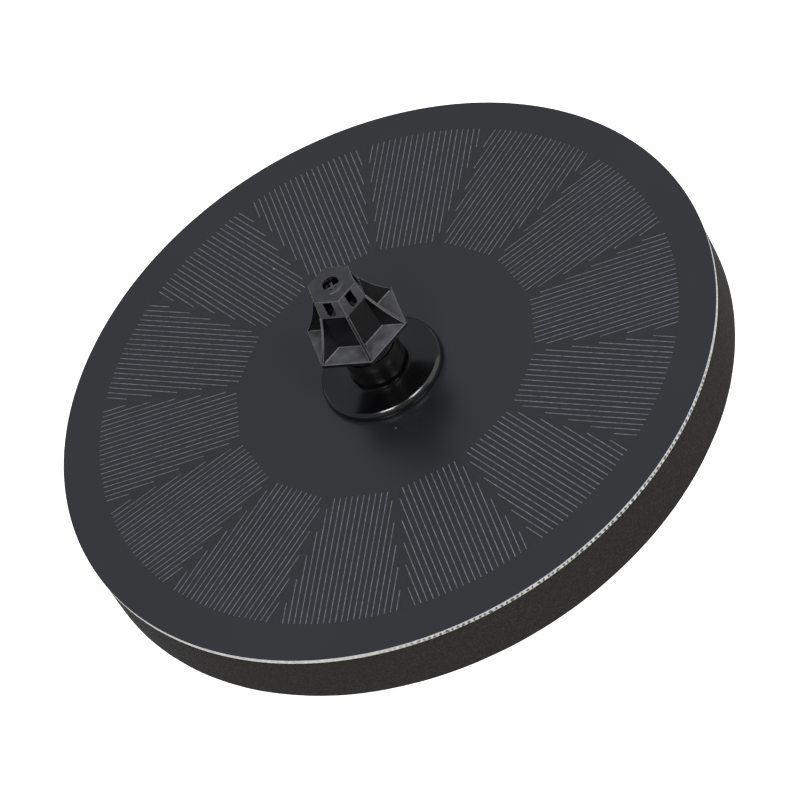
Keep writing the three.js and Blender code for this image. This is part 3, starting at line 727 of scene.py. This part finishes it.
# ---- Seals of the lid --------------------------------------------------------------------------------------
# A flat EPDM washer, punched from sheet, between the lid's shoulder and the panel, and a moulded O-ring in the
# spigot's groove.
# EPDM is a dull warm black with a bloom
epdm, _ = mottled("moulded_epdm_rubber", ("#161615", "#201f1e"), 2 * MM, (0.65, 0.8), 0.1 * MM, 0.004 * MM,
                  IOR=1.5)
gasket_low, gasket_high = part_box("panel_gasket")
bm = bmesh.new()
spun(bm, [(spigot_bore, gasket_low.z), (gasket_high.x, gasket_low.z), (gasket_high.x, gasket_high.z),
          (spigot_bore, gasket_high.z)])
soften(bm, 0.08 * MM)
gasket = new_piece(bm, "gasket_washer", [epdm])
bm = bmesh.new()
ring_middle = spigot_radius - 0.3 * MM
section = [math.tau * i / 20 for i in range(20)]
spun(bm, [(ring_middle + 0.5 * MM * math.cos(a),
           (ring_low + ring_high) / 2 + (ring_high - ring_low) / 2 * math.sin(a)) for a in section])
o_ring = new_piece(bm, "o_ring", [epdm])
for piece, node in ((gasket, "panel_gasket"), (o_ring, "spigot_o_ring")):
    stands_for(piece, "float", node)

# ---- Pump housing ------------------------------------------------------------------------------------------
# The pump's body, one ABS moulding: the motor cup above, the pump chamber and its side port below, the upright
# duct beside them, three screw posts and the skirt that the strainer slides over.
housing_low, housing_high = levels("pump_housing")
housing_inner = housing_radius - 1.6 * MM
chamber_foot, chamber_roof, motor_floor = 12.8 * MM, 18.4 * MM, 19.8 * MM
chamber_radius = 14.4 * MM
chamber_wall = 1.4 * MM
well_bore = 6 * MM
port_half = 3 * MM
screw_place = 20.2 * MM
screw_turns = (60, 180, 300)
lead_level = 28.85 * MM
grommet_half = (3.2 * MM, 1.5 * MM)

bm = bmesh.new()
spun(bm, [(housing_inner, housing_low), (housing_radius, housing_low), (housing_radius, housing_high),
          (housing_inner, housing_high), (housing_inner, motor_floor), (well_bore, motor_floor),
          (well_bore, chamber_roof), (chamber_radius, chamber_roof), (chamber_radius, chamber_foot),
          (chamber_radius + chamber_wall, chamber_foot), (chamber_radius + chamber_wall, chamber_roof),
          (housing_inner, chamber_roof)])
cup = new_piece(bm, "housing_cup", [])
post = (chamber_foot, chamber_roof + 0.5 * MM, screw_place)
bm = combined(
    cup,
    ("UNION", tool("housing_duct", upright, 4.3 * MM, motor_floor - 0.5 * MM, housing_high, riser_place)),
    ("UNION", tool("housing_port", block, (12 * MM, -port_half - 1.3 * MM, chamber_foot),
                   (23.9 * MM, port_half + 1.3 * MM, chamber_roof + 0.5 * MM))),
    ("UNION", tool("housing_posts", upright, 2.3 * MM, *post, turns=screw_turns)),
    ("DIFFERENCE", tool("housing_chamber", upright, chamber_radius, 0, chamber_roof, steps=96)),
    ("DIFFERENCE", tool("housing_port_way", block, (12 * MM, -port_half, 0),
                        (22.6 * MM, port_half, chamber_roof))),
    ("DIFFERENCE", tool("housing_riser", upright, 3 * MM, 0, housing_high + MM, riser_place)),
    ("DIFFERENCE", tool("housing_pilots", upright, 0.95 * MM, 0, chamber_foot + 4.6 * MM, screw_place, 24,
                        turns=screw_turns)),
    ("DIFFERENCE", tool("housing_inlet", block,
                        (housing_inner - MM, -grommet_half[0], lead_level - grommet_half[1]),
                        (housing_radius + MM, grommet_half[0], lead_level + grommet_half[1]), turns=(180,))))
soften(bm, 0.15 * MM, 50)
housing = flat_faces(new_piece(bm, "housing_moulding", [satin_abs]))
stands_for(housing, "float", "pump_housing")

# ---- Rotor well --------------------------------------------------------------------------------------------
# Thin-walled ABS cup that keeps the water from the coils, bonded by its flange to the motor floor. A socket in
# its roof holds the shaft's upper seat.
well_low, well_high = levels("rotor_well")
well_roof, socket_foot, flange_top = well_high - 0.8 * MM, well_high - 2.6 * MM, well_low + 0.6 * MM
socket_inner, socket_outer = 1.9 * MM, 3 * MM
well_outer, well_flange = 6.8 * MM, 8.1 * MM
bm = bmesh.new()
spun(bm, [(0, well_roof), (socket_inner, well_roof), (socket_inner, socket_foot), (socket_outer, socket_foot),
          (socket_outer, well_roof), (well_bore, well_roof), (well_bore, well_low), (well_flange, well_low),
          (well_flange, flange_top), (well_outer, flange_top), (well_outer, well_high), (0, well_high)])
soften(bm, 0.15 * MM)
well = new_piece(bm, "well_moulding", [gloss_abs])
stands_for(well, "float", "rotor_well")

# ---- Stator core -------------------------------------------------------------------------------------------
# Stack of punched electrical-steel sheets, 0.5 mm each, varnished: a ring with four poles. The cut edges show as
# fine lines with a little rust-brown varnish between them.
core_steel, core_shader = mottled("stacked_electrical_steel", ("#73716f", "#93918e"), 2 * MM, (0.35, 0.5),
                                  0.1 * MM, 0.003 * MM, Metallic=0.9)
at = add_node(core_steel, "TexCoord")["Object"]
sheets = add_node(core_steel, "TexWave", {"Vector": at, "Scale": math.tau / 20 / (0.5 * MM)},
                  bands_direction="Z")["Fac"]
colour = add_node(core_steel, "ValToRGB", {"Fac": sheets}, ((0.1, "#4a3f37"), (0.4, "#8b8987")))["Color"]
normal = add_node(core_steel, "Bump", {"Height": sheets, "Distance": 0.05 * MM})["Normal"]
attach(core_shader, Base_Color=colour, Normal=normal)
finish_nodes(core_steel, "stator_core")

# ---- Stator coils ------------------------------------------------------------------------------------------
# Enamelled copper wire, 0.35 mm thick, wound in layers on each pole over its bobbin. The turns lie side by side,
# each copper under amber enamel along its crest and painted dark brown where it meets the next, a painted shade in
# the crease between turns.
wire = 0.35 * MM
core_foot, core_head = levels("stator_core")
copper, copper_shader = new_material("enamelled_copper_wire", Metallic=0.85, Roughness=0.3, Coat_Weight=0.6)
at = add_node(copper, "TexCoord")["Object"]
turns = add_node(copper, "TexWave", {"Vector": at, "Scale": math.tau / 20 / wire, "Distortion": 0.3},
                 wave_type="RINGS", rings_direction="Z")["Fac"]
# dark brown in the troughs between turns is painted shade
colour = add_node(copper, "ValToRGB", {"Fac": turns}, ((0.1, "#5a2410"), (0.6, "#c06a35")))["Color"]
normal = add_node(copper, "Bump", {"Height": turns, "Distance": 0.15 * MM})["Normal"]
attach(copper_shader, Base_Color=colour, Normal=normal)
for i in range(4):
    bm = bmesh.new()
    block(bm, (8.4 * MM, -2.9 * MM, core_foot - 0.9 * MM), (11.8 * MM, 2.9 * MM, core_head + 0.9 * MM))
    long_edges = [edge for edge in bm.edges if abs(edge.verts[0].co.x - edge.verts[1].co.x) > MM]
    bmesh.ops.bevel(bm, geom=long_edges, offset=0.8 * MM, segments=5, profile=0.5, affect="EDGES", material=-1)
    bundle = new_piece(bm, "winding_block", [])
    bm = combined(bundle, ("DIFFERENCE", tool("winding_way", block, (7 * MM, -1.4 * MM, core_foot - 0.1 * MM),
                                              (13 * MM, 1.4 * MM, core_head + 0.1 * MM))))
    soften(bm, 0.12 * MM, 50)
    turn_by(bm, bm.verts, math.radians(45 + 90 * i))
    winding = new_piece(bm, f"winding_{i + 1}", [copper])
    stands_for(winding, "float", f"stator_coil_{i + 1}")

# ---- Motor driver ------------------------------------------------------------------------------------------
# A ring of glass-fibre board over the coils with green solder mask over copper tracks, a moulded epoxy chip and
# a fired ceramic capacitor.
green_mask, mask_shader = mottled("green_solder_mask", ("#14502f", "#1b6139"), 3 * MM, (0.25, 0.35), 0.1 * MM,
                                  0.002 * MM, IOR=1.5)
at = add_node(green_mask, "TexCoord")["Object"]
tracks = add_node(green_mask, "TexVoronoi", {"Vector": at, "Scale": 1 / (2.2 * MM), "Randomness": 0.5},
                  feature="DISTANCE_TO_EDGE")["Distance"]
colour = add_node(green_mask, "ValToRGB", {"Fac": tracks}, ((0.1, "#2c7d4c"), (0.14, "#164f30")))["Color"]
normal = add_node(green_mask, "Bump", {"Height": tracks, "Distance": 0.03 * MM})["Normal"]
attach(mask_shader, Base_Color=colour, Normal=normal)
finish_nodes(green_mask, "driver_board")
chip_epoxy, _ = mottled("moulded_epoxy", ("#1b1c1e", "#232426"), 0.8 * MM, (0.5, 0.6), 0.06 * MM, 0.004 * MM)
finish_nodes(chip_epoxy, "driver_chip")
fired_ceramic, _ = mottled("fired_capacitor_ceramic", ("#b9924a", "#d0aa66"), 0.8 * MM, (0.35, 0.5), 0.06 * MM,
                           0.003 * MM)
finish_nodes(fired_ceramic, "driver_capacitor")

# ---- Potting -----------------------------------------------------------------------------------------------
# Epoxy resin, poured over the motor and left to set: level, glossy and nearly black, with soft waves.
potting, _ = mottled("poured_epoxy_resin", ("#1c1917", "#27221f"), 9 * MM, (0.12, 0.22), 4 * MM, 0.05 * MM,
                     IOR=1.55)
finish_nodes(potting, "potting_layer")

# ---- Leads and grommet -------------------------------------------------------------------------------------
# Two short PVC-insulated leads from the panel to the motor, red and black, held by a moulded rubber grommet in
# the housing's wall. Extruded PVC is smooth with a soft shine.
red_pvc, _ = mottled("extruded_red_pvc", ("#97201b", "#a82a22"), 2 * MM, (0.35, 0.5), 0.2 * MM, 0.004 * MM,
                     IOR=1.53)
black_pvc, _ = mottled("extruded_black_pvc", ("#141414", "#1c1c1c"), 2 * MM, (0.35, 0.5), 0.2 * MM, 0.004 * MM,
                       IOR=1.53)
finish_nodes(red_pvc, "lead_positive")
finish_nodes(black_pvc, "lead_negative")
finish_nodes(epdm, "lead_grommet", "chamber_seal")

# ---- Shaft, seats and washers ------------------------------------------------------------------------------
# A ground alumina shaft, fixed in two moulded rubber seats, with an alumina washer at each end of the rotor.
# Fired alumina is off-white and finely matt, polished where the rotor runs.
alumina, _ = mottled("ground_alumina", ("#dedbd2", "#ebe8df"), 3 * MM, (0.2, 0.35), 0.05 * MM, 0.002 * MM,
                     IOR=1.76)
shaft_radius = 1 * MM
turned_parts = {
    # node: piece, bore, edge, material, slot
    "rotor_shaft": ("ground_shaft", 0, 0.15 * MM, alumina, "white_ceramic"),
    "shaft_seat_upper": ("seat_upper", shaft_radius + 0.02 * MM, 0.12 * MM, epdm, "seal_rubber"),
    "shaft_seat_lower": ("seat_lower", shaft_radius + 0.02 * MM, 0.12 * MM, epdm, "seal_rubber"),
    "thrust_washer_upper": ("washer_upper", shaft_radius + 0.05 * MM, 0.06 * MM, alumina, "white_ceramic"),
    "thrust_washer_lower": ("washer_lower", shaft_radius + 0.05 * MM, 0.06 * MM, alumina, "white_ceramic"),
}
for node, (name, bore, edge, material, slot) in turned_parts.items():
    low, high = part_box(node)
    bm = bmesh.new()
    spun(bm, [(bore, low.z), (high.x, low.z), (high.x, high.z), (bore, high.z)], 64)
    soften(bm, edge)
    piece = new_piece(bm, name, [material])
    stands_for(piece, "float", node)

# ---- Rotor magnet ------------------------------------------------------------------------------------------
# Sintered ferrite ring, ground outside, glued on the impeller's sleeve: charcoal grey with fine grinding marks.
ferrite, ferrite_shader = mottled("ground_ferrite", ("#262629", "#333336"), 2 * MM, (0.4, 0.55), 0.1 * MM,
                                  0.004 * MM)
at = add_node(ferrite, "TexCoord")["Object"]
scratches = add_node(ferrite, "Mapping", {"Vector": at, "Scale": (1, 1, 12)})["Vector"]
scratches = add_node(ferrite, "TexNoise", {"Vector": scratches, "Scale": 1 / (1.5 * MM), "Detail": 3})["Fac"]
normal = add_node(ferrite, "Bump", {"Height": scratches, "Distance": 0.02 * MM})["Normal"]
attach(ferrite_shader, Normal=normal)
magnet_low, magnet_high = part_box("magnet_rotor")
magnet_bore = 2.05 * MM
bm = bmesh.new()
spun(bm, [(magnet_bore, magnet_low.z), (magnet_high.x, magnet_low.z), (magnet_high.x, magnet_high.z),
          (magnet_bore, magnet_high.z)])
soften(bm, 0.25 * MM, segments=3)
magnet = new_piece(bm, "ring_magnet", [ferrite])
stands_for(magnet, "rotor", "magnet_rotor")

# ---- Impeller ----------------------------------------------------------------------------------------------
# White acetal moulding: a back plate with six straight blades under it, a hub and the sleeve for the magnet.
# Acetal is slightly translucent and waxy.
acetal, _ = mottled("moulded_white_acetal", ("#d3d2cc", "#deded8"), 5 * MM, (0.3, 0.42), 0.15 * MM, 0.003 * MM,
                    IOR=1.48, Subsurface_Weight=0.15, Subsurface_Scale=1 * MM)
hub_low, sleeve_top = levels("impeller")
impeller_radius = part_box("impeller")[1].x
plate_low, plate_top = 16.5 * MM, 17.3 * MM
hub_bore, sleeve_radius = 1.05 * MM, 2 * MM
bm = bmesh.new()
spun(bm, [(hub_bore, hub_low), (2.8 * MM, hub_low), (3.4 * MM, plate_low), (impeller_radius, plate_low),
          (impeller_radius, plate_top), (sleeve_radius, plate_top), (sleeve_radius, sleeve_top),
          (hub_bore, sleeve_top)])
wheel = new_piece(bm, "impeller_wheel", [])
bm = combined(wheel, ("UNION", tool("impeller_blades", block, (2.6 * MM, -0.5 * MM, 13.7 * MM),
                                    (impeller_radius - 0.2 * MM, 0.5 * MM, plate_low + 0.3 * MM),
                                    turns=range(0, 360, 60))))
soften(bm, 0.1 * MM, 50)
impeller = flat_faces(new_piece(bm, "impeller_moulding", [acetal]))
stands_for(impeller, "rotor", "impeller")

# ---- Chamber cover -----------------------------------------------------------------------------------------
# ABS plate screwed under the pump chamber, with the round inlet eye in its middle and three spokes that carry
# the cup of the shaft's lower seat. A flat rubber seal lies between it and the chamber's rim.
cover_low, cover_high = levels("chamber_cover")
cover_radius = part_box("chamber_cover")[1].x
plate_foot = cover_low + 0.4 * MM
seat_floor = plate_foot + 0.3 * MM
seat_inner, seat_outer = 1.95 * MM, 2.8 * MM
inlet_eye = 6.2 * MM
bm = bmesh.new()
spun(bm, [(inlet_eye, plate_foot), (cover_radius, plate_foot), (cover_radius, cover_high),
          (inlet_eye, cover_high)])
disc = new_piece(bm, "cover_disc", [])
bm = bmesh.new()
spun(bm, [(0, cover_low), (seat_outer, cover_low), (seat_outer, cover_high), (seat_inner, cover_high),
          (seat_inner, seat_floor), (0, seat_floor)], 48)
seat = new_piece(bm, "cover_seat", [])
bm = combined(disc,
              ("UNION", tool("cover_spokes", block, (2.4 * MM, -0.6 * MM, plate_foot),
                             (inlet_eye + 0.8 * MM, 0.6 * MM, cover_high), turns=(0, 120, 240))),
              ("UNION", seat),
              ("DIFFERENCE", tool("cover_holes", upright, 1.15 * MM, 0, cover_high + MM, screw_place, 24,
                                  turns=screw_turns)))
soften(bm, 0.12 * MM, 50)
cover = flat_faces(new_piece(bm, "cover_moulding", [satin_abs]))
stands_for(cover, "float", "chamber_cover")

# ---- Cover screws ------------------------------------------------------------------------------------------
# Three stainless pan-head screws with a cross recess, rolled threads in the posts. Passivated steel, bright
# with fine turning marks.
stainless, _ = mottled("rolled_stainless_steel", ("#a9abad", "#bfc1c3"), 1.5 * MM, (0.22, 0.35), 0.05 * MM,
                       0.002 * MM, Metallic=1)
screw_low, screw_high = levels("cover_screw_1")
shank_start = screw_low + 1.25 * MM
thread_pitch = 0.8 * MM
thread_root, thread_crest = 0.62 * MM, 0.8 * MM
head_radius = 1.9 * MM
thread = []
for i in range(int((screw_high - 0.5 * MM - shank_start) / thread_pitch)):
    foot = shank_start + i * thread_pitch
    thread += [(thread_root, foot + 0.1 * MM), (thread_crest, foot + 0.4 * MM), (thread_root, foot + 0.7 * MM)]
for i, turn in enumerate(screw_turns):
    bm = bmesh.new()
    spun(bm, [(0, screw_low), (1.3 * MM, screw_low), (1.75 * MM, screw_low + 0.25 * MM),
              (head_radius, screw_low + 0.6 * MM), (head_radius, shank_start), *thread, (0, screw_high)], 32)
    shank = new_piece(bm, "screw_shank", [])
    bm = combined(shank, *(("DIFFERENCE", tool("screw_recess", block, (-0.9 * MM, -0.2 * MM, 0),
                                               (0.9 * MM, 0.2 * MM, screw_low + 0.8 * MM), turns=(side,)))
                           for side in (20, 110)))
    bmesh.ops.translate(bm, verts=bm.verts, vec=(screw_place, 0, 0))
    turn_by(bm, bm.verts, math.radians(turn))
    screw = new_piece(bm, f"pan_screw_{i + 1}", [stainless])
    stands_for(screw, "float", f"cover_screw_{i + 1}")

# ---- Strainer ----------------------------------------------------------------------------------------------
# ABS cup that slides over the housing's skirt, with 24 slots in its wall and 12 in its floor. Its skin is satin,
# and the slots' ends are round.
strainer_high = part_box("strainer_cover")[1]
strainer_inner = housing_radius + 0.3 * MM
strainer_floor = 1.6 * MM
strainer_edge = 0.8 * MM
slot_half = 0.9 * MM


def long_slot(bm, start, end, rise):
    """A slot with round ends from start to end, cut through along rise."""
    start, end, rise = Vector(start), Vector(end), Vector(rise)
    along = (end - start).normalized() * slot_half
    side = rise.normalized().cross(along)
    half_turn = [math.pi * (i / 6 - 0.5) for i in range(7)]
    corners = [end - along + along * math.cos(a) + side * math.sin(a) for a in half_turn]
    corners += [start + along - along * math.cos(a) - side * math.sin(a) for a in half_turn]
    prism(bm, corners, rise)


bm = bmesh.new()
spun(bm, [(0, 0), (strainer_high.x - strainer_edge, 0), (strainer_high.x, strainer_edge),
          (strainer_high.x, strainer_high.z), (strainer_inner, strainer_high.z),
          (strainer_inner, strainer_floor), (0, strainer_floor)])
cup = new_piece(bm, "strainer_cup", [])
side_turns = [15 * i + 7.5 for i in range(24)]
floor_turns = [30 * i + 15 for i in range(12)]
bm = combined(cup,
              ("DIFFERENCE", tool("strainer_side_slots", long_slot, (24 * MM, 0, 2.6 * MM), (24 * MM, 0, 8 * MM),
                                  (6 * MM, 0, 0), turns=side_turns)),
              ("DIFFERENCE", tool("strainer_floor_slots", long_slot, (10 * MM, 0, -MM), (22 * MM, 0, -MM),
                                  (0, 0, 4 * MM), turns=floor_turns)))
soften(bm, 0.12 * MM, 50)
strainer = flat_faces(new_piece(bm, "strainer_moulding", [satin_abs]))
stands_for(strainer, "strainer", "strainer_cover")

# ---- Strainer sponge ---------------------------------------------------------------------------------------
# Disc of black reticulated polyurethane sponge, cut from sheet and pressed into the strainer. Its faces bulge
# slightly, its cut rim is ragged, and the open pores are painted darker as the shade inside them.
sponge_low, sponge_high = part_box("strainer_sponge")
sponge_radius = sponge_high.x
sponge_middle = (sponge_low.z + sponge_high.z) / 2
pore = 0.9 * MM
crown = 0.3 * MM
rim = 0.8 * MM
# The open pores are painted darker, a painted shade in the pits, and their struts are a soft dull black
sponge_foam, sponge_shader = new_material("reticulated_polyurethane_sponge", Roughness=0.95,
                                          Specular_IOR_Level=0.15, Sheen_Weight=0.2)
at = add_node(sponge_foam, "TexCoord")["Object"]
pores = add_node(sponge_foam, "TexVoronoi", {"Vector": at, "Scale": 1 / pore}, feature="F1")["Distance"]
colour = add_node(sponge_foam, "ValToRGB", {"Fac": pores}, ((0.2, "#0b0b0c"), (0.6, "#2b2b2e")))["Color"]
normal = add_node(sponge_foam, "Bump", {"Height": pores, "Distance": 0.5 * MM})["Normal"]
attach(sponge_shader, Base_Color=colour, Normal=normal)
bm = bmesh.new()
rings = [sponge_radius * i / 24 for i in range(24)]
under = [(r, sponge_low.z + crown * (r / sponge_radius) ** 4) for r in rings]
over = [(r, sponge_high.z - crown * (r / sponge_radius) ** 4) for r in reversed(rings)]
spun(bm, [*under, (sponge_radius - 0.25 * MM, sponge_low.z + rim), (sponge_radius - 0.1 * MM, sponge_middle),
          (sponge_radius - 0.25 * MM, sponge_high.z - rim), *over], 144)
for vert in bm.verts:
    inward = 0.12 * MM * (1 + noise.noise(vert.co / pore)) + 0.1 * MM * (1 + noise.noise(vert.co / (4 * MM)))
    vert.co.z += inward * (1 if vert.co.z < sponge_middle else -1) * 0.6
    vert.co.xy *= 1 - inward / sponge_radius
sponge = new_piece(bm, "sponge_disc", [sponge_foam], smooth=60)
stands_for(sponge, "strainer", "strainer_sponge")
